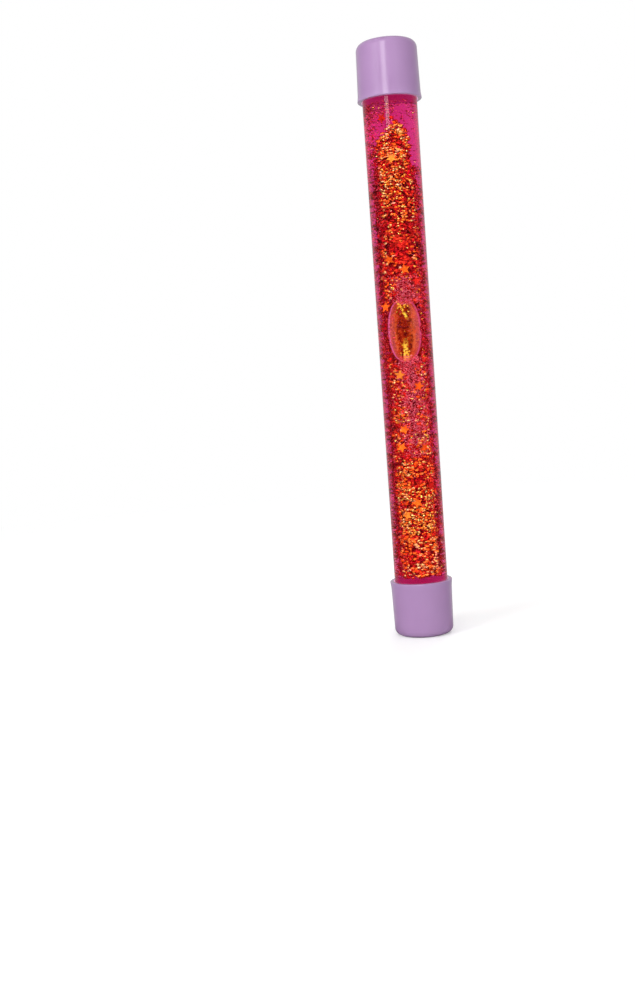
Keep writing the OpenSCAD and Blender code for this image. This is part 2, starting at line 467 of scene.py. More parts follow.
@dataclass(frozen=True)
class AirPocket(Finish):
    """The skin of the air bubble, with a painted reflection of the glitter that floats round it.

    The painted reflection is an emission. Seen straight on it shows dark film with painted glints,
    further out orange film, and edge on a painted line of the light behind it.
    """

    name: str = "air_pocket"
    index: float = 1.0 / 1.47
    middle: float = 0.0915
    half: float = 0.0092
    # Painted reflection: the emission colours of the mirrored glitter, by how far the skin is seen
    # edge on, for the left and for the right.
    painted_reflection_bands: tuple[tuple[float, Colour, Colour], ...] = (
        (0.0, (0.075, 0.006, 0.0005), (0.075, 0.006, 0.0005)),
        (0.06, (0.095, 0.010, 0.0005), (0.11, 0.030, 0.002)),
        (0.14, (0.155, 0.044, 0.004), (0.165, 0.075, 0.014)),
        (0.27, (0.14, 0.054, 0.017), (0.155, 0.060, 0.022)),
        (0.46, (0.165, 0.064, 0.036), (0.155, 0.054, 0.034)),
        (0.54, (0.21, 0.12, 0.14), (0.18, 0.07, 0.08)),
        (0.66, (0.21, 0.12, 0.14), (0.18, 0.07, 0.08)),
        (0.76, (0.08, 0.004, 0.012), (0.08, 0.004, 0.012)),
    )
    # Painted shade (dark), painted light (the orange and bright) and the colours of the painted
    # glints (amber to gold).
    dark: Colour = (0.026, 0.0008, 0.0003)
    painted_orange: Colour = (0.2, 0.044, 0.0015)
    bright: Colour = (0.21, 0.12, 0.02)
    amber: Colour = (0.3, 0.3, 0.008)
    gold: Colour = (0.34, 0.68, 0.04)
    # How much of the skin shows the painted reflection, how bright its emission is, and how it
    # narrows towards the ends.
    show: tuple[float, float] = (0.92, 0.96)
    level: float = 4.6
    taper: float = 0.12

    def draw(self, graph: Graph) -> None:
        """Bend light as air in liquid does, and lay a painted reflection of the glitter over it.

        The painted reflection runs in bands from the middle of the bubble to its edge, one set on
        the left and one on the right, with painted shade and painted light in its grain. Painted
        glints stand in a slanting streak near the top and in a patch near the bottom.
        """
        place = graph.place()
        clear = graph.node(
            "ShaderNodeBsdfGlass",
            None,
            {"Color": (1.0, 0.99, 0.995), "Roughness": 0.0, "IOR": self.index},
        )
        grazing = graph.facing()
        coarse = graph.cells(place, 1900.0)
        cell = graph.cells(place, 2600.0)
        fleck = graph.part(cell, "X")
        patches = graph.noise((900.0, 900.0, 400.0), 4.0).step(0.4, 0.6)
        grain = 0.3 * patches + 0.7 * graph.part(coarse, "Y")
        sideways = graph.part(place, "X")
        upward = graph.part(place, "Z") - self.middle
        rise = upward * (1.0 / self.half)
        across = (grazing - self.taper * rise * rise).highest(0.0)
        left = graph.ramp(tuple((where, tint) for where, tint, _ in self.painted_reflection_bands), across)
        right = graph.ramp(tuple((where, tint) for where, _, tint in self.painted_reflection_bands), across)
        colour = graph.blend(sideways.step(-0.0012, 0.0012), left, right)
        core = across.step(0.16, 0.04)
        inside = across.step(0.5, 0.42)
        # Painted orange, painted shade and painted light laid into the reflection's grain.
        painted_orange_share = 0.65 * patches * (1.0 - core) * across.step(0.42, 0.2)
        colour = graph.blend(painted_orange_share, colour, self.painted_orange)
        shadow = grain.step(0.5, 0.25) * (0.3 + 0.6 * core) * inside
        colour = graph.blend(shadow, colour, self.dark)
        light = grain.step(0.6, 0.85) * (0.55 - 0.1 * core) * inside
        lit = graph.blend(core, self.bright, self.painted_orange)
        colour = graph.blend(light, colour, lit)
        # Painted glints: a slanting streak near the top, a patch near the bottom, and scattered
        # specks.
        streak = abs(sideways + 0.36 * upward - 0.002).step(0.0005, 0.0001)
        crown = rise.step(0.32, 0.5) * streak * fleck.step(0.15, 0.45)
        patch = abs(sideways).step(0.0008, 0.0003) * rise.step(-1.0, -0.88)
        tail = rise.step(-0.2, -0.55) * patch * fleck.step(0.1, 0.4)
        painted_glint_specks = (fleck + 0.3 * abs(rise).step(0.35, 0.9)).step(0.97, 1.03) * across.step(0.14, 0.05)
        glint = painted_glint_specks.highest(crown).highest(tail)
        # The painted glints' colour, from amber to gold.
        foil = graph.blend(graph.part(cell, "Z"), self.amber, self.gold)
        colour = graph.blend(glint, colour, foil)
        # The painted reflection is an emission, mixed over the clear glass by how far the skin is
        # seen edge on.
        skin = graph.node("ShaderNodeEmission", None, {"Color": colour, "Strength": self.level})
        low, high = self.show
        share = low + (high - low) * grazing.step(0.3, 0.7)
        graph.output(graph.node("ShaderNodeMixShader", None, {0: share, 1: clear, 2: skin}))


@dataclass(frozen=True)
class FlakeFilm(Finish):
    """Metallic film cut into flakes, each flake with its own shade and its own gloss."""

    name: str
    tone: FoilTone
    polish: float = 0.18

    def draw(self, graph: Graph) -> None:
        """Take the colour from the flake's shade, and the gloss from a scramble of it."""
        shade = graph.node("ShaderNodeAttribute", {"attribute_name": SHADE}, out="Fac")
        colour = graph.ramp(self.tone.value, shade)
        scramble = (shade * 37.7).fraction()
        graph.show({
            "Base Color": colour,
            "Metallic": self.tone.metal,
            "Roughness": self.polish - 0.12 * self.tone.metal + 0.25 * scramble,
            "Specular IOR Level": 0.0,
        })


@dataclass(frozen=True)
class CutFilm(Finish):
    """Metallic film on the solid stars, with a fine pressed grain and colours darkened as painted
    shade.
    """

    name: str
    tone: FoilTone
    metal: float = 0.5
    polish: float = 0.45
    # Painted shade: the flakes' film colours are scaled by this, so the stars read darker under the
    # same light.
    painted_shade_scale: Colour = (0.8, 0.5, 0.35)

    def draw(self, graph: Graph) -> None:
        """Shade each piece by its place, cloud it a little, and press a grain into it."""
        place = graph.place()
        patch = graph.cells(place, 300.0)
        shade = 0.3 * graph.part(patch, "X") + 0.3 * graph.noise(700.0)
        stops = tuple(
            (share, tuple(np.multiply(self.painted_shade_scale, colour))) for share, colour in self.tone.value
        )
        colour = graph.ramp(stops, shade)
        grain = graph.noise(9000.0, 1.0)
        graph.show({
            "Base Color": colour,
            "Metallic": self.metal,
            "Specular IOR Level": 0.1,
            "Roughness": self.polish + 0.12 * grain,
            "Normal": graph.bump(grain, 0.15, 0.00001),
        })


@dataclass(frozen=True)
class SoftPlug(Finish):
    """Satin moulded plug, stained at its wet end, with a painted glow: an emission that lightens it
    as if light came through the cap.
    """

    name: str = "soft_plug"
    body: Colour = (0.62, 0.40, 0.55)
    stain: Colour = (0.40, 0.05, 0.18)
    middle: float = 0.0875
    wet: tuple[float, float] = (0.0815, 0.0775)
    # Strength of the painted glow.
    level: float = 0.5

    def draw(self, graph: Graph) -> None:
        """Fade from the plug's own colour to the stain, roughen it, and paint a glow on it."""
        place = graph.place()
        away = abs(graph.part(place, "Z") - self.middle)
        cloud = graph.noise(420.0)
        soaked = away.step(*self.wet) * (0.6 + 0.5 * cloud)
        graph.show({
            "Base Color": graph.blend(soaked, self.body, self.stain),
            "Roughness": 0.42 + 0.2 * cloud,
            # Painted light: an emission in the plug's colours stands in for light through the cap.
            "Emission Color": graph.blend(cloud, self.stain, self.body),
            "Emission Strength": self.level,
            "Normal": graph.bump(graph.noise(2400.0, 2.0), 0.3, 0.00003),
        })


@dataclass(frozen=True)
class GlueBead(Finish):
    """Set clear glue with a cloudy skin."""

    name: str = "glue_bead"
    clear: Colour = (0.92, 0.90, 0.84)
    cloudy: Colour = (0.80, 0.74, 0.62)

    def draw(self, graph: Graph) -> None:
        """Cloud the glue, and ripple its skin."""
        cloud = graph.noise(900.0)
        graph.show({
            "Base Color": graph.blend(cloud, self.clear, self.cloudy),
            "Roughness": 0.15 + 0.25 * cloud,
            "Transmission Weight": 0.35,
            "IOR": 1.48,
            "Normal": graph.bump(cloud, 0.4, 0.00004),
        })


@dataclass(frozen=True)
class FloorPaper(Finish):
    """White paper that keeps the wand's shadow and lifts to white for the camera."""

    name: str = "floor_paper"
    paper: Colour = (0.80, 0.80, 0.80)
    pale: Colour = (0.815, 0.815, 0.815)
    lift: float = 0.3
    fade: tuple[float, float] = (0.12, 0.45)

    def draw(self, graph: Graph) -> None:
        """Lift the paper for rays that show it, and fade it to plain white far away.

        Gloss sees the paper as dark in front of the wand and white behind it, as the room is.
        """
        place = graph.place()
        grain = graph.noise(600.0)
        paper = graph.blend(grain, self.paper, self.pale)
        matt = graph.node("ShaderNodeBsdfDiffuse", None, {"Color": paper})
        mirror = mirrored_ray(graph)
        seen = seen_directly(graph) - mirror
        glow = graph.node("ShaderNodeEmission", None, {"Strength": seen * self.lift})
        near = graph.node("ShaderNodeAddShader", None, {0: matt, 1: glow})
        way = graph.node("ShaderNodeVectorMath", {"operation": "NORMALIZE"}, {0: place})
        shown = 1.0 - mirror * (1.0 - room_in_gloss(graph, way))
        white = graph.node("ShaderNodeEmission", None, {"Strength": shown})
        reach = graph.node("ShaderNodeVectorMath", {"operation": "LENGTH"}, {0: place}, out="Value")
        far = reach.step(*self.fade) * seen + mirror
        graph.output(graph.node("ShaderNodeMixShader", None, {0: far, 1: near, 2: white}))


def room_in_gloss(graph: Graph, way: Socket) -> Socket:
    """What gloss mirrors of the room: dark in front of the wand, and pale behind it.

    Args:
        graph: The graph to add to.
        way: The direction that the mirrored ray goes, or the place it meets.

    Returns:
        The room's level, from its dark front to its pale back.
    """
    return DARK_FRONT + (PALE_BACK - DARK_FRONT) * graph.part(way, "Y").step(0.15, 0.85)


def seen_directly(graph: Graph) -> Socket:
    """1 for rays from the camera, from gloss and through glass, and 0 for the rest."""
    kinds = ("Is Camera Ray", "Is Glossy Ray", "Is Transmission Ray")
    camera, gloss, through = (graph.ray(kind) for kind in kinds)
    return camera.highest(gloss).highest(through)


def mirrored_ray(graph: Graph) -> Socket:
    """1 for rays that a gloss mirrors, and 0 for those that pass through glass and the rest."""
    gloss = graph.ray("Is Glossy Ray")
    through = graph.ray("Is Transmission Ray")
    return gloss * (1.0 - through)


def off_film(graph: Graph) -> Socket:
    """1 for rays that have left a film or another surface, and 0 for those straight through."""
    matt = graph.ray("Diffuse Depth")
    gloss = graph.ray("Glossy Depth")
    return (matt + gloss).step(0.0, 1.0)


@dataclass(frozen=True)
class Shell:
    """A closed surface: points in millimetres, face corners in a row, and corners to a face."""

    points: np.ndarray
    corners: np.ndarray
    counts: np.ndarray

    def mesh(self, name: str) -> bpy.types.Mesh:
        """Fill a mesh with the surface.

        Args:
            name: The mesh's name.

        Returns:
            The mesh, in metres.
        """
        mesh = bpy.data.meshes.new(name)
        mesh.vertices.add(len(self.points))
        mesh.vertices.foreach_set("co", (self.points * MM).astype(np.float32).ravel())
        mesh.loops.add(len(self.corners))
        mesh.loops.foreach_set("vertex_index", self.corners.astype(np.int32))
        mesh.polygons.add(len(self.counts))
        starts = np.concatenate(([0], np.cumsum(self.counts)[:-1]))
        mesh.polygons.foreach_set("loop_start", starts.astype(np.int32))
        mesh.update(calc_edges=True)
        mesh.validate()
        return mesh


def lathe(profile: np.ndarray, segments: int, ring: bool = False) -> Shell:
    """Carry a profile round the axis.

    A profile point (r, z) becomes the ring (r cos t, r sin t, z) for t from 0 to a full turn, and
    quads join each ring to the next. A ring-shaped solid joins its last ring to its first. Any
    other profile starts and ends on the axis, where a fan of triangles closes it.

    Args:
        profile: Rows of radius and height, with the solid on the left of the way they run.
        segments: How many steps make the full turn.
        ring: Whether the profile is a loop clear of the axis.

    Returns:
        The closed surface.
    """
    inner = profile if ring else profile[1:-1]
    rows = len(inner)
    turn = np.arange(segments) * FULL_TURN / segments
    circle = np.stack([np.cos(turn), np.sin(turn)], axis=-1)
    flat = inner[:, None, :1] * circle[None]
    tall = np.broadcast_to(inner[:, None, 1:], (rows, segments, 1))
    points = np.concatenate([flat, tall], axis=-1).reshape(-1, 3)
    index = np.arange(rows * segments).reshape(rows, segments)
    after = np.roll(index, -1, axis=1)
    if ring:
        low, high = index, np.roll(index, -1, axis=0)
        low_after, high_after = after, np.roll(after, -1, axis=0)
    else:
        low, high, low_after, high_after = index[:-1], index[1:], after[:-1], after[1:]
    quads = np.stack([low, low_after, high_after, high], axis=-1).reshape(-1)
    counts = np.full(len(quads) // 4, 4)
    if ring:
        return Shell(points, quads, counts)
    first, last = len(points), len(points) + 1
    poles = np.array([[0.0, 0.0, profile[0, 1]], [0.0, 0.0, profile[-1, 1]]])
    start = np.stack([np.full(segments, first), after[0], index[0]], axis=-1)
    stop = np.stack([index[-1], after[-1], np.full(segments, last)], axis=-1)
    corners = np.concatenate([quads, start.ravel(), stop.ravel()])
    counts = np.concatenate([counts, np.full(2 * segments, 3)])
    return Shell(np.concatenate([points, poles]), corners, counts)


def arc(centre: Sequence[float], radius: float, start: float, stop: float, steps: int) -> np.ndarray:
    """Points on a circle.

    The point at angle a is the centre plus radius times (cos a, sin a), for a evenly spaced.

    Args:
        centre: Radius and height of the circle's centre.
        radius: Its radius.
        start: The first angle in degrees.
        stop: The last angle in degrees.
        steps: How many steps lie between them.

    Returns:
        Rows of radius and height.
    """
    angle = np.radians(np.linspace(start, stop, steps + 1))
    return np.asarray(centre) + radius * np.stack([np.cos(angle), np.sin(angle)], axis=-1)


def line(first: Sequence[float], last: Sequence[float], steps: int) -> np.ndarray:
    """Points evenly spaced on the straight line from first to last."""
    share = np.linspace(0.0, 1.0, steps + 1)[:, None]
    return np.asarray(first) * (1.0 - share) + np.asarray(last) * share


def smooth_step(value: np.ndarray, low: float, high: float) -> np.ndarray:
    """3 s s - 2 s s s, where s is how far value has come from low to high, held to 0 and 1."""
    share = np.clip((value - low) / (high - low), 0.0, 1.0)
    return share * share * (3.0 - 2.0 * share)


def bell(value: np.ndarray, middle: float, width: float) -> np.ndarray:
    """A bump of height 1 at middle: e to the minus square of the distance over width."""
    return np.exp(-(((value - middle) / width) ** 2))


def unit(vectors: np.ndarray) -> np.ndarray:
    """Rows of a matrix, each scaled to a length of 1."""
    return vectors / np.linalg.norm(vectors, axis=1, keepdims=True)


@dataclass(frozen=True)
class Span:
    """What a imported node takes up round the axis, in millimetres."""

    radius: float
    low: float
    high: float

    @classmethod
    def of(cls, node: str) -> Span:
        """Read a node's span from the frame.

        Args:
            node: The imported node's name.

        Returns:
            Its radius and its heights.
        """
        low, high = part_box(node)
        return cls(high.x / MM, low.z / MM, high.z / MM)


def put(name: str, data: bpy.types.ID) -> bpy.types.Object:
    """Add an object with this name and data to the scene."""
    thing = bpy.data.objects.new(name, data)
    bpy.context.scene.collection.objects.link(thing)
    return thing


@dataclass
class Piece:
    """One finished object, with what it rides on and what it stands for."""

    name: str
    mesh: bpy.types.Mesh
    body: Body
    slot: Slot
    finishes: Sequence[Finish]
    replaces: Sequence[str] = ()
    smooth: bool = True

    def place(self) -> None:
        """Put the piece into the scene and tie it to the frame."""
        if self.smooth:
            self.mesh.polygons.foreach_set("use_smooth", np.ones(len(self.mesh.polygons), bool))
            self.mesh.set_sharp_from_angle(angle=SHARP)
        for finish in self.finishes:
            self.mesh.materials.append(finish.material())
        thing = put(self.name, self.mesh)
        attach(thing, self.body.value)
        if self.replaces:
            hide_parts(*self.replaces)
        LOG.info("%s: %d faces on %s", self.name, len(self.mesh.polygons), self.body.value)


def dress(node: bpy.types.Object, finish: Finish) -> None:
    """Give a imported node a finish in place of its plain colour.

    Args:
        node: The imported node's object.
        finish: What to cover it with.
    """
    node.data.materials.clear()
    node.data.materials.append(finish.material())
    LOG.info("%s: solid kept, in %s", node.name, finish.name)


@dataclass
class Casing:
    """The clear tube with its caps, plugs and glue."""

    nodes: Mapping[str, bpy.types.Object]
    wall: float = 1.0
    bevel: float = 0.15
    cap_end: float = 1.8
    cap_draft: float = 0.4
    cap_edge: float = 2.2
    cap_bore: float = 8.05
    cap_lead: float = 0.3
    lip_height: float = 1.8
    lip_proud: float = 0.15
    lip_round: float = 0.35
    gate_radius: float = 1.3
    gate_depth: float = 0.18
    segments: int = 256
    tube: Span = field(init=False)
    cap: Span = field(init=False)

    def __post_init__(self) -> None:
        """Read the outer sizes from the frame."""
        self.tube = Span.of("tube")
        self.cap = Span.of("bottom_cap")

    def build(self) -> None:
        """Make the tube and the caps, and dress the rest."""
        self.build_tube()
        for end in End:
            self.build_cap(end)
        self.dress_hidden()

    def tube_profile(self) -> np.ndarray:
        """The tube's wall as a loop: bottom edge, outside, top edge, bore.

        Returns:
            Rows of radius and height.
        """
        out, bore, cut = self.tube.radius, self.tube.radius - self.wall, self.bevel
        low, high = self.tube.low, self.tube.high
        return np.concatenate([
            [[bore, low + cut], [bore + cut, low], [out - cut, low]],
            line((out, low + cut), (out, high - cut), 48),
            [[out - cut, high], [bore + cut, high]],
            line((bore, high - cut), (bore, low + cut), 48)[:-1],
        ])

    def build_tube(self) -> None:
        """Turn the tube, and mark the faces of its bore as wetted."""
        mesh = lathe(self.tube_profile(), self.segments, ring=True).mesh("clear_tube")
        reach, _ = self.face_places(mesh)
        wetted = reach < self.tube.radius - 0.9 * self.wall
        finishes = (ClearWall(), WettedWall())
        Piece("clear_tube", mesh, Body.WAND, Slot.TUBE, finishes, ("tube",)).place()
        mesh.polygons.foreach_set("material_index", wetted.astype(np.int32))

    def cap_profile(self) -> np.ndarray:
        """A cap on its closed end: gate mark, end, rounded edge, side, lip, bore.

        Returns:
            Rows of radius and height, from the axis back to the axis.
        """
        length = self.cap.high - self.cap.low
        rim = self.cap.radius - self.lip_proud
        end = rim - self.cap_draft
        lean = math.degrees(math.atan(self.cap_draft / length))
        tilt = math.radians(lean)
        edge_x = end - self.cap_edge * (1.0 - math.sin(tilt)) / math.cos(tilt)
        side_z = length - self.lip_height
        side_r = end + self.cap_draft * side_z / length
        lip_r = self.cap.radius - self.lip_round
        return np.concatenate([
            [[0.0, self.gate_depth], [self.gate_radius * 0.8, self.gate_depth]],
            [[self.gate_radius, 0.0], [edge_x * 0.6, 0.0]],
            arc((edge_x, self.cap_edge), self.cap_edge, -90.0, -lean, 14),
            line((side_r - 0.3 * self.cap_draft, 0.7 * side_z), (side_r, side_z), 4),
            arc((lip_r, length - self.lip_round), self.lip_round, -8.0, 90.0, 8),
            [[self.cap_bore + self.cap_lead, length]],
            [[self.cap_bore, length - self.cap_lead], [self.cap_bore, self.cap_end]],
            [[0.0, self.cap_end]],
        ])

    def build_cap(self, end: End) -> None:
        """Turn one cap.

        Args:
            end: The end of the wand that it closes.
        """
        profile = self.cap_profile()
        closed = 0.0
        if end is End.TOP:
            closed = self.tube.low + self.tube.high
            profile = np.stack([profile[:, 0], closed - profile[:, 1]], axis=-1)[::-1]
        name = f"{end.value}_cap_shell"
        mesh = lathe(profile, self.segments).mesh(name)
        reach, height = self.face_places(mesh)
        inside = reach < self.cap_bore + 0.5 * self.cap_lead
        inside = inside & (np.abs(height - closed) > 0.5 * self.cap_end)
        finishes = (CapPlastic(), CapInside())
        Piece(name, mesh, Body.WAND, Slot.CAP, finishes, (f"{end.value}_cap",)).place()
        mesh.polygons.foreach_set("material_index", inside.astype(np.int32))

    @staticmethod
    def face_places(mesh: bpy.types.Mesh) -> tuple[np.ndarray, np.ndarray]:
        """How far each face's middle is from the axis and from the floor, in millimetres."""
        middles = np.empty(3 * len(mesh.polygons), np.float32)
        mesh.polygons.foreach_get("center", middles)
        middles = middles.reshape(-1, 3) / MM
        return np.hypot(middles[:, 0], middles[:, 1]), middles[:, 2]

    def dress_hidden(self) -> None:
        """Dress the plugs and the glue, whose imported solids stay."""
        for end in End:
            dress(self.nodes[f"{end.value}_plug"], SoftPlug())
            dress(self.nodes[f"{end.value}_glue_ring"], GlueBead())


@dataclass
class Filling:
    """The magenta liquid and the air bubble in it."""

    meniscus: float = 0.35
    bubble_fullness: float = 0.72
    tail_fullness: float = 0.88
    segments: int = 192
    liquid: Span = field(init=False)
    bubble: Span = field(init=False)

    def __post_init__(self) -> None:
        """Read the sizes from the frame."""
        self.liquid = Span.of("liquid")
        self.bubble = Span.of("air_bubble")

    def build(self) -> None:
        """Make the liquid and the bubble."""
        mesh = lathe(self.liquid_profile(), self.segments).mesh("liquid_column")
        Piece("liquid_column", mesh, Body.WAND, Slot.LIQUID, (TintedLiquid(),), ("liquid",)).place()
        mesh = lathe(self.bubble_profile(), self.segments).mesh("bubble_skin")
        Piece("bubble_skin", mesh, Body.BUBBLE, Slot.AIR, (AirPocket(),), ("air_bubble",)).place()

    def liquid_profile(self) -> np.ndarray:
        """A column with a rounded edge at each end, where it meets the plugs.

        Returns:
            Rows of radius and height, from the axis back to the axis.
        """
        radius, curve = self.liquid.radius, self.meniscus
        low, high = self.liquid.low, self.liquid.high
        return np.concatenate([
            [[0.0, low], [0.5 * radius, low]],
            arc((radius - curve, low + curve), curve, -90.0, 0.0, 6),
            line((radius, low + 2.0), (radius, high - 2.0), 40),
            arc((radius - curve, high - curve), curve, 0.0, 90.0, 6),
            [[0.5 * radius, high], [0.0, high]],
        ])

    def bubble_profile(self) -> np.ndarray:
        """A long drop: at angle a the radius is cos a to a power, and the height is sin a.

        The power differs above and below the middle.

        Returns:
            Rows of radius and height, from the axis back to the axis.
        """
        angle = np.linspace(-0.5 * math.pi, 0.5 * math.pi, 97)
        half = 0.5 * (self.bubble.high - self.bubble.low)
        middle = 0.5 * (self.bubble.high + self.bubble.low)
        fullness = np.where(angle < 0.0, self.tail_fullness, self.bubble_fullness)
        round_part = np.clip(np.cos(angle), 0.0, 1.0) ** fullness
        profile = np.stack([self.bubble.radius * round_part, middle + half * np.sin(angle)], axis=-1)
        profile[[0, -1], 0] = 0.0
        return profile


@dataclass(frozen=True)
class Cloud:
    """A cloud of flakes: how many, of which film, where, how large, and how they face.

    Radii and heights bound the flakes' whole reach. Facing is 1 for flakes that all face
    straight out and 0 for flakes that lie any way round.
    """

    name: str
    tone: FoilTone
    count: int
    radii: tuple[float, float]
    heights: tuple[float, float]
    sizes: tuple[float, float]
    facing: float
    seed: int
    crowd: Crowd = Crowd.COLUMN
    body: Body = Body.GLITTER
    thickness: float = 0.04
    stands_for: tuple[str, ...] = ()


@dataclass(frozen=True)
class Places:
    """Places drawn for flakes, with the shares that weigh them.

    Turn is the angle from the front in radians, positive to the right. Height runs along the
    axis, and side is the distance to the right of it. A wave has its turns round the axis, its
    radians to the millimetre along it, and where it starts.
    """

    turn: np.ndarray
    height: np.ndarray
    side: np.ndarray
    bubble_height: float = 91.5
    bubble_oval: tuple[float, float] = (5.4, 11.6)
    wake_side: tuple[float, float] = (0.9, 1.7)
    waves: tuple[tuple[float, float, float], ...] = (
        (2.0, 0.21, 0.0),
        (3.0, -0.37, 2.0),
        (1.0, 0.83, 3.0),
        (5.0, 0.55, 5.0),
    )

    def along(self, low: float, high: float) -> np.ndarray:
        """A smooth step along the height."""
        return smooth_step(self.height, low, high)

    def near(self, middle: float, width: float) -> np.ndarray:
        """A bump at a height."""
        return bell(self.height, middle, width)

    def clumps(self, lean: float) -> np.ndarray:
        """Waves round the axis and along it, which gather flakes by so much."""
        waves = sum(np.sin(a * self.turn + b * self.height + c) for a, b, c in self.waves)
        return np.clip(1.0 + lean * waves, 0.08, None)

    @property
    def front(self) -> np.ndarray:
        """1 on the front of the wand, and 0 behind."""
        return smooth_step(np.cos(self.turn), -0.1, 0.35)

    @property
    def seen(self) -> np.ndarray:
        """How far to the side a place seems to lie through the round wall."""
        ahead = np.cos(self.turn)
        return self.side * (1.0 - 0.2 * ahead) * (1.0 + 0.006 * self.side**2 * (1.0 - ahead))

    @property
    def off_bubble(self) -> np.ndarray:
        """How far a place is above or below the middle of the bubble."""
        return np.abs(self.height - self.bubble_height)

    @property
    def wake(self) -> np.ndarray:
        """The trail above and below the bubble, on the front."""
        below = self.along(84.5, 82.0) * self.along(53.0, 60.0)
        above = self.along(99.0, 101.0) * self.along(108.5, 105.0)
        return bell(self.side, *self.wake_side) * np.maximum(below, above) * self.front

    @property
    def oval(self) -> np.ndarray:
        """0 where the bubble shows, and 1 clear of it."""
        width, tall = self.bubble_oval
        return smooth_step((self.side / width) ** 2 + (self.off_bubble / tall) ** 2, 0.82, 1.12)


@dataclass
class Glitter:
    """The loose film: flakes in the glitter layer, among the stars and stuck to the bore."""

    star_boxes: Sequence[tuple[Vector, Vector]]
    star_room: float = 1.9
    oversample: int = 6
    spin: float = 0.35
    clouds: Sequence[Cloud] = (
        Cloud("crimson_flakes", FoilTone.CRIMSON, 2800, (3.52, 4.5), COLUMN_HEIGHTS,
              (1.5, 2.3), 0.85, 11, Crowd.DARK),
        Cloud("red_flakes", FoilTone.RED, 2300, (3.9, 5.4), COLUMN_HEIGHTS,
              (1.1, 1.85), 0.7, 12, stands_for=("red_glitter",)),
        Cloud("orange_flakes", FoilTone.ORANGE, 1650, (4.1, 5.6), COLUMN_HEIGHTS,
              (1.05, 1.7), 0.7, 13, Crowd.BRIGHT, stands_for=("orange_glitter",)),
        Cloud("gold_flakes", FoilTone.GOLD, 360, (4.3, 5.65), (17.3, 154.0),
              (1.0, 1.6), 0.7, 14, Crowd.BRIGHT, stands_for=("gold_glitter",)),
        Cloud("pale_flakes", FoilTone.PALE, 690, (4.5, 5.65), (17.3, 154.0),
              (0.9, 1.45), 0.7, 15, Crowd.BRIGHT),
        Cloud("wake_flakes", FoilTone.PINK, 5200, (4.2, 5.65), (54.0, 108.5),
              (0.25, 0.45), 0.5, 16, Crowd.WAKE),
        Cloud("fine_flakes", FoilTone.PINK, 260, (3.5, 5.65), (146.0, 157.8),
              (0.22, 0.4), 0.4, 17, Crowd.RIM),
        Cloud("haze_flakes", FoilTone.MAUVE, 9600, (3.5, 5.65), (17.3, 157.8),
              (0.3, 0.52), 0.4, 20, Crowd.HAZE, thickness=0.03),
        Cloud("backing_orange", FoilTone.ORANGE, 620, (3.5, 4.9), (80.0, 102.5),
              (0.5, 0.9), 0.7, 18, Crowd.BACKING),
        Cloud("backing_gold", FoilTone.GOLD, 240, (3.5, 4.6), (80.0, 102.5),
              (0.45, 0.8), 0.6, 19, Crowd.BACKING),
        Cloud("drift_orange", FoilTone.ORANGE, 380, STAR_LAYER, STAR_HEIGHTS,
              (0.6, 1.05), 0.75, 21, Crowd.BRIGHT, Body.STARS),
        Cloud("drift_gold", FoilTone.GOLD, 260, STAR_LAYER, STAR_HEIGHTS,
              (0.6, 1.0), 0.75, 22, Crowd.BRIGHT, Body.STARS),
        Cloud("drift_red", FoilTone.RED, 300, STAR_LAYER, STAR_HEIGHTS,
              (0.6, 1.05), 0.75, 23, body=Body.STARS),
        Cloud("drift_pale", FoilTone.PALE, 260, STAR_LAYER, STAR_HEIGHTS,
              (0.55, 0.85), 0.75, 24, Crowd.BRIGHT, Body.STARS),
        Cloud("stuck_gold", FoilTone.GOLD, 90, BORE_LAYER, (20.0, 157.8),
              (0.35, 0.7), 1.0, 31, Crowd.RIM, Body.WAND, 0.03),
        Cloud("stuck_red", FoilTone.RED, 130, BORE_LAYER, (20.0, 157.8),
              (0.3, 0.6), 1.0, 32, Crowd.RIM, Body.WAND, 0.03),
    )

    def build(self) -> None:
        """Make every cloud."""
        for cloud in self.clouds:
            self.build_cloud(cloud)

    def weight(self, cloud: Cloud, at: Places) -> np.ndarray:
        """How likely a flake is at each place.

        The weight is a product of smooth steps and bells in the height and in the distance to
        the side, and of waves round the axis and along it that make clumps.

        Args:
            cloud: The cloud that the flakes belong to.
            at: The places.

        Returns:
            Weights of 0 or more.
        """
        if cloud.crowd is Crowd.RIM:
            spread = 0.12 + 2.0 * at.near(157.5, 4.0) + 0.3 * at.near(40.0, 20.0)
            return spread * (1.0 - 0.98 * at.front * smooth_step(at.off_bubble, 13.0, 11.0))
        if cloud.crowd is Crowd.BACKING:
            ends = at.near(85.0, 2.5) + at.near(98.5, 2.5)
            behind = smooth_step(-np.cos(at.turn), 0.1, 0.6)
            return behind * (1.0 + (2.0 if cloud.tone is FoilTone.GOLD else 0.0) * ends)
        if cloud.crowd is Crowd.WAKE:
            return at.wake * at.clumps(0.1)
        if cloud.crowd is Crowd.HAZE:
            return self.haze_weight(at)
        return self.column_weight(cloud, at)

    @staticmethod
    def haze_weight(at: Places) -> np.ndarray:
        """Weights for the fine film along the sides of the tube and under the top cap."""
        seen = at.seen
        lower = at.along(132.0, 116.0)
        edge = smooth_step(-seen + 0.7 * lower, 2.4, 3.8)
        edge = edge + smooth_step(seen + 0.5 * lower, 3.2, 4.2) * at.along(142.0, 130.0)
        rim = at.along(150.0, 157.0)
        return 0.03 + edge + rim * (0.25 + 2.2 * smooth_step(-seen, -1.2, 1.2))

    @staticmethod
    def flanks(at: Places, dark: bool) -> np.ndarray:
        """1 between the left and right flanks of the column, which widens downwards."""
        seen = at.seen
        left = 0.3 - 3.2 * at.along(153.5, 143.0) - 1.2 * at.along(135.0, 120.0)
        right = 1.2 + 1.5 * at.along(153.0, 145.0) + 1.8 * at.along(141.0, 129.0)
        if dark:
            left = left - 1.3 * at.along(150.0, 138.0)
            right = right + 1.3 * at.along(141.0, 129.0)
        soft = 0.5 + 0.9 * at.along(128.0, 146.0)
        inside = smooth_step((seen - left) / soft, -1.0, 1.0)
        return inside * smooth_step((right - seen) / soft, -1.0, 1.0)

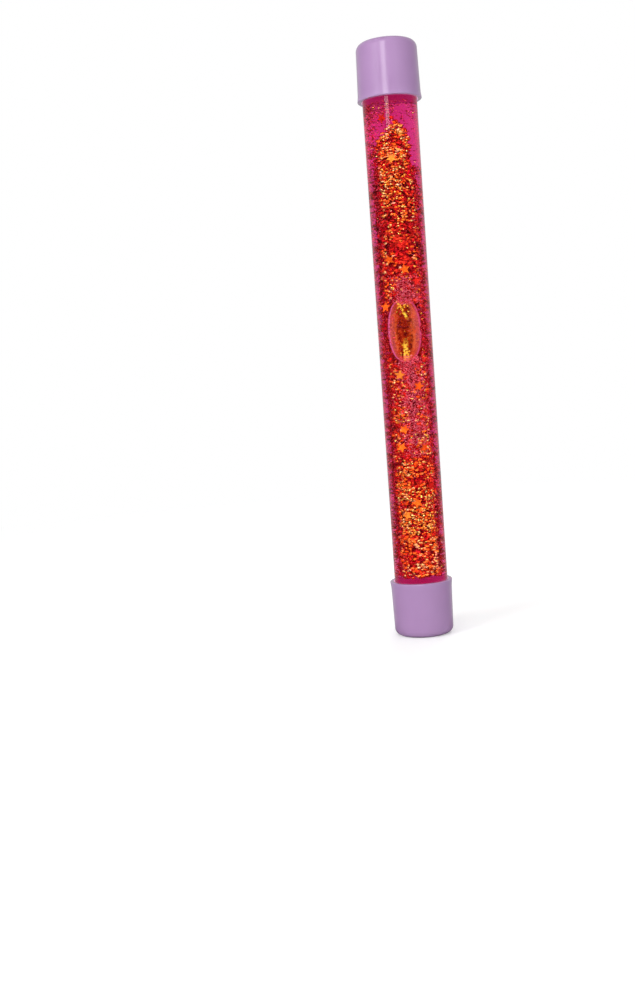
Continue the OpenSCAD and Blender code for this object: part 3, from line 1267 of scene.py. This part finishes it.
    def column_weight(self, cloud: Cloud, at: Places) -> np.ndarray:
        """Weights for the column of flakes, which leaves the bubble and its trail in view.

        Args:
            cloud: The cloud that the flakes belong to.
            at: The places.

        Returns:
            Weights of 0 or more.
        """
        dark, bright = cloud.crowd is Crowd.DARK, cloud.crowd is Crowd.BRIGHT
        front, back = at.front, 1.0 - at.front
        level = smooth_step(at.off_bubble, 13.0, 10.0)
        beside = smooth_step(np.abs(at.side), 2.6, 3.6)
        window = (1.0 - front * (1.0 - at.oval)) * (1.0 - 0.65 * back * level * beside)
        if cloud.body is Body.STARS:
            window = np.maximum(window, 0.3 * smooth_step(np.abs(at.side), 4.2, 4.8))
        thin_top = 1.0 - 0.97 * at.along(148.5, 153.0)
        clumps = at.clumps(-0.2 if dark else 0.5 if bright else 0.1)
        column = thin_top * self.flanks(at, dark) * (1.0 - 0.96 * at.wake) * window * clumps
        column = column * (1.0 - 0.7 * back * at.along(134.0, 142.0))
        behind = back * level * (1.0 - beside)
        if bright:
            rich = 0.12 + 1.0 * at.near(143.0, 9.0) + 0.6 * at.along(66.0, 40.0)
            rich = rich + 1.1 * at.near(141.0, 3.0) * bell(at.side, 0.0, 1.6) * front
            return column * (rich + 1.6 * behind)
        if dark:
            column = column * (1.0 - 0.9 * at.along(140.0, 150.0))
        return column * (1.0 - 0.6 * behind)

    def scatter(
        self, cloud: Cloud, rng: np.random.Generator
    ) -> tuple[np.ndarray, np.ndarray, np.ndarray]:
        """Choose the flakes' places, sizes and normals.

        A normal is the outward direction and a random one, mixed by the cloud's facing. A flake's
        reach from its middle along the radius is half its size times the sine of the angle
        between its normal and the radius, and its middle keeps that far inside the shell. Many
        places are drawn evenly over the shell. Each gets the key log(u) / weight for an even
        draw u, and the highest keys are kept, which picks places in proportion to their weights.

        Args:
            cloud: The cloud to fill.
            rng: The cloud's own draws.

        Returns:
            Middles, sizes and normals.
        """
        total = cloud.count * self.oversample
        size = rng.uniform(*cloud.sizes, total)
        turn = rng.uniform(-math.pi, math.pi, total)
        outward = np.stack([np.sin(turn), -np.cos(turn), np.zeros(total)], axis=-1)
        normal = cloud.facing * outward + (1.0 - cloud.facing) * unit(rng.normal(size=(total, 3)))
        normal = unit(normal)
        lean = np.abs(np.sum(normal * outward, axis=1))
        reach = 0.5 * size * np.sqrt(1.0 - np.minimum(lean, 1.0) ** 2) + 0.5 * cloud.thickness
        low = cloud.radii[0] + reach
        high = np.maximum(cloud.radii[1] - reach, low)
        radius = np.sqrt(rng.uniform(low**2, high**2))
        height = rng.uniform(cloud.heights[0] + 0.5 * size, cloud.heights[1] - 0.5 * size)
        side = radius * np.sin(turn)
        middle = np.stack([side, -radius * np.cos(turn), height], axis=-1)
        weight = self.weight(cloud, Places(turn, height, side))
        if cloud.body is Body.STARS:
            weight = weight * self.clear_of_stars(middle)
        key = np.log(rng.uniform(1e-9, 1.0, total)) / np.maximum(weight, 1e-9)
        kept = np.sort(np.argsort(key)[-cloud.count :])
        return middle[kept], size[kept], normal[kept]

    def clear_of_stars(self, middle: np.ndarray) -> np.ndarray:
        """1 where a place has room beside every star, and 0 elsewhere."""
        stars = np.array([0.5 * (np.array(low) + np.array(high)) for low, high in self.star_boxes])
        gap = np.linalg.norm(middle[:, None, :] - stars[None] / MM, axis=-1).min(axis=1)
        return (gap > self.star_room).astype(float)

    def build_cloud(self, cloud: Cloud) -> None:
        """Make one cloud as a single mesh.

        A flake is a thin six-sided plate. Corner k lies at (cos, sin) of k sixths of a turn in
        the plate's plane, half a thickness to either side of it.

        Args:
            cloud: The cloud to make.
        """
        rng = np.random.default_rng(cloud.seed)
        middle, size, normal = self.scatter(cloud, rng)
        spin = rng.normal(scale=self.spin, size=(cloud.count, 3))
        across = np.cross(normal, (0.0, 0.0, 1.0)) + spin
        across = unit(across - normal * np.sum(across * normal, axis=1, keepdims=True))
        along = np.cross(normal, across) * rng.uniform(0.5, 0.85, (cloud.count, 1))
        corner = np.arange(CORNERS) * FULL_TURN / CORNERS
        rim = np.cos(corner)[None, :, None] * across[:, None]
        rim = rim + np.sin(corner)[None, :, None] * along[:, None]
        rim = middle[:, None] + 0.5 * size[:, None, None] * rim
        lift = 0.5 * cloud.thickness * normal[:, None]
        points = np.concatenate([rim + lift, rim - lift], axis=1).reshape(-1, 3)
        shell, template = self.plates(points, cloud.count)
        mesh = shell.mesh(cloud.name)
        shade = mesh.attributes.new(SHADE, "FLOAT", "FACE")
        shades = np.repeat(rng.random(cloud.count), CORNERS + 2)
        shade.data.foreach_set("value", shades.astype(np.float32))
        self.map_cells(mesh, cloud.count, template)
        finish = FlakeFilm(f"{cloud.tone.name.lower()}_flake_film", cloud.tone)
        Piece(
            cloud.name, mesh, cloud.body, cloud.tone.slot, (finish,), cloud.stands_for, smooth=False
        ).place()

    @staticmethod
    def plates(points: np.ndarray, count: int) -> tuple[Shell, np.ndarray]:
        """Join the corners of six-sided plates into faces.

        Args:
            points: Twelve corners to a plate, the outer six first.
            count: How many plates there are.

        Returns:
            The plates as one surface, and the corners of one plate's faces in a row.
        """
        ring = np.arange(CORNERS)
        after = np.roll(ring, -1)
        sides = np.stack([ring + CORNERS, after + CORNERS, after, ring], axis=-1).ravel()
        template = np.concatenate([ring, ring[::-1] + CORNERS, sides])
        corners = (template[None] + 2 * CORNERS * np.arange(count)[:, None]).ravel()
        counts = np.tile([CORNERS] * 2 + [4] * CORNERS, count)
        return Shell(points, corners, counts), template

    @staticmethod
    def map_cells(mesh: bpy.types.Mesh, count: int, template: np.ndarray) -> None:
        """Give each flake its own cell of the UV map named by BAKE_MAP.

        Flake i takes the cell in column i mod n and row i over n of an n by n grid, and its
        corners lie on a circle in the cell.

        Args:
            mesh: The cloud's mesh.
            count: How many flakes it has.
            template: The corners of one flake's faces in a row.
        """
        side = math.ceil(math.sqrt(count))
        angle = (template % CORNERS) * FULL_TURN / CORNERS
        spot = 0.5 + 0.4 * np.stack([np.cos(angle), np.sin(angle)], axis=-1)
        flake = np.arange(count)
        cell = np.stack([flake % side, flake // side], axis=-1)
        places = (cell[:, None] + spot[None]) / side
        layer = mesh.uv_layers.new(name=BAKE_MAP)
        layer.data.foreach_set("uv", places.astype(np.float32).ravel())


@dataclass
class Stars:
    """The foil stars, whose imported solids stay."""

    nodes: Mapping[str, bpy.types.Object]
    slots: Mapping[str, str]

    def names(self) -> list[str]:
        """The stars' node names in order."""
        return sorted(name for name in self.nodes if name.startswith("star_"))

    def boxes(self) -> list[tuple[Vector, Vector]]:
        """The stars' lowest and highest corners."""
        return [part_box(name) for name in self.names()]

    def build(self) -> None:
        """Dress each star in the film of its slot."""
        films = {
            Slot.GOLD.value: CutFilm("gold_star_film", FoilTone.GOLD),
            Slot.ORANGE.value: CutFilm("orange_star_film", FoilTone.ORANGE),
            Slot.RED.value: CutFilm("red_star_film", FoilTone.RED),
        }
        for name in self.names():
            dress(self.nodes[name], films[self.slots[name]])


@dataclass(frozen=True)
class Lamp:
    """A soft lamp: where it is and what it faces in metres, its size, and its power in watts."""

    name: str
    place: tuple[float, float, float]
    target: tuple[float, float, float]
    size: tuple[float, float]
    power: float
    mirrored: bool = False

    def build(self) -> None:
        """Hang the lamp out of sight, also through glass. Gloss shows it if it is mirrored."""
        light = bpy.data.lights.new(self.name, "AREA")
        light.shape = "RECTANGLE"
        light.size, light.size_y = self.size
        light.energy = self.power
        lamp = put(self.name, light)
        away = Vector(self.target) - Vector(self.place)
        turned = away.to_track_quat("-Z", "Y").to_matrix().to_4x4()
        lamp.matrix_world = Matrix.Translation(self.place) @ turned
        lamp.visible_camera = False
        lamp.visible_glossy = self.mirrored
        lamp.visible_transmission = False


@dataclass
class Studio:
    """The floor, the lamps, the world and the camera."""

    camera_place: tuple[float, float, float] = (0.0, -0.3599, 0.0799)
    yaw: float = -4.73
    pitch: float = -5.86
    roll: float = -4.26
    lens: float = 42.94
    ambient: float = 0.5
    softbox: tuple[float, float] = (0.86, 0.97)
    softbox_level: float = 9.5
    left_box: tuple[float, float, float] = (-0.62, 0.62, 0.48)
    right_box: tuple[float, float, float] = (0.60, 0.70, 0.39)
    right_share: float = 0.6
    front_spread: tuple[float, float] = (0.0, 0.4)
    front_lift: float = 1.15
    flank_lift: float = 5.4
    floor_half: float = 3.0
    lamps: Sequence[Lamp] = (
        Lamp("key_lamp", (-0.50, -0.50, 0.38), (0.0, 0.0, 0.09), (0.3, 0.4), 2.6),
        Lamp("fill_lamp", (0.40, -0.60, 0.25), (0.0, 0.0, 0.09), (0.2, 0.3), 1.2),
        Lamp("strip_lamp", (-0.202, -0.877, 0.62), (0.0, 0.0, 0.15), (0.28, 0.60), 1.8, True),
        Lamp("top_lamp", (0.1, 0.1, 0.9), (0.0, 0.0, 0.0), (0.8, 0.8), 0.6),
        Lamp("back_lamp", (0.15, 0.75, 0.35), (0.0, 0.0, 0.09), (0.4, 0.4), 2.4),
    )

    def build(self) -> None:
        """Set up everything that isn't the wand."""
        self.build_floor()
        self.build_world()
        self.build_camera()
        for lamp in self.lamps:
            lamp.build()
        self.set_paths()

    def build_floor(self) -> None:
        """Lay a wide sheet of paper, a grid of flat squares."""
        axis = np.linspace(-self.floor_half, self.floor_half, 13) / MM
        x, y = np.meshgrid(axis, axis, indexing="ij")
        points = np.stack([x, y, np.zeros_like(x)], axis=-1).reshape(-1, 3)
        index = np.arange(x.size).reshape(x.shape)
        corners = np.stack(
            [index[:-1, :-1], index[1:, :-1], index[1:, 1:], index[:-1, 1:]], axis=-1
        ).ravel()
        mesh = Shell(points, corners, np.full(len(corners) // 4, 4)).mesh("floor")
        mesh.materials.append(FloorPaper().material())
        put("floor", mesh)

    def build_world(self) -> None:
        """Show white all round, and light matt surfaces at a plain level.

        Film behind glass also gets two soft boxes and a lift from the front, and whatever is seen
        through glass a lift from the right flank.
        """
        world = bpy.data.worlds.new("studio_world")
        world.use_nodes = True
        bpy.context.scene.world = world
        graph = Graph(world.node_tree)
        way = graph.node("ShaderNodeTexCoord", out="Generated")
        shown = room_in_gloss(graph, way)
        mirror = mirrored_ray(graph)
        through = graph.ray("Is Transmission Ray")
        seen = seen_directly(graph)
        sideways, upward = graph.part(way, "X"), graph.part(way, "Z")
        ahead = graph.part(way, "Y") * -1.0
        left, right = (
            (ahead * forward + sideways * aside + upward * lift).step(*self.softbox)
            for aside, forward, lift in (self.left_box, self.right_box)
        )
        boxes = left + self.right_share * right
        flank = sideways.step(0.3, 0.95) * ahead.step(-0.3, 0.2) * self.flank_lift
        front = ahead.step(*self.front_spread) * self.front_lift
        lit = through * (flank + off_film(graph) * (front + boxes * self.softbox_level))
        level = self.ambient * (1.0 - seen) + seen * (1.0 - mirror * (1.0 - shown)) + lit
        sky = graph.node("ShaderNodeBackground", None, {"Color": WHITE, "Strength": level})
        graph.node("ShaderNodeOutputWorld", None, {"Surface": sky})

    def build_camera(self) -> None:
        """Put the camera where the photograph was taken from.

        Yaw turns the view to the right, pitch lifts it, and roll turns it about its own axis.
        """
        yaw, pitch, roll = (math.radians(a) for a in (self.yaw, self.pitch, self.roll))
        ahead = Vector(
            (math.sin(yaw) * math.cos(pitch), math.cos(yaw) * math.cos(pitch), math.sin(pitch))
        )
        level = Vector((math.cos(yaw), -math.sin(yaw), 0.0))
        upright = level.cross(ahead)
        right = math.cos(roll) * level + math.sin(roll) * upright
        up = -math.sin(roll) * level + math.cos(roll) * upright
        turned = Matrix((right, up, -ahead)).transposed().to_4x4()
        data = bpy.data.cameras.new("camera")
        data.lens = self.lens
        data.clip_start = 0.01
        camera = put("camera", data)
        camera.matrix_world = Matrix.Translation(self.camera_place) @ turned
        bpy.context.scene.camera = camera

    @staticmethod
    def set_paths() -> None:
        """Keep colours plain, and let light cross the tube, the liquid and the bubble."""
        scene = bpy.context.scene
        scene.view_settings.view_transform = "Standard"
        scene.cycles.max_bounces = 24
        scene.cycles.transmission_bounces = 24
        scene.cycles.glossy_bounces = 8
        scene.cycles.transparent_max_bounces = 32


def main(frame: Mapping[str, Any]) -> None:
    """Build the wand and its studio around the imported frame.
    """
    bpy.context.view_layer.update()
    nodes = frame["nodes"]
    slots = {row["node"]: row["material_slot"] for row in frame["record"]["subparts"]}
    stars = Stars(nodes, slots)
    Casing(nodes).build()
    Filling().build()
    stars.build()
    Glitter(stars.boxes()).build()
    Studio().build()


if __name__ == "__main__":
    logging.basicConfig(level=logging.INFO, format="%(message)s")
    main(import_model())
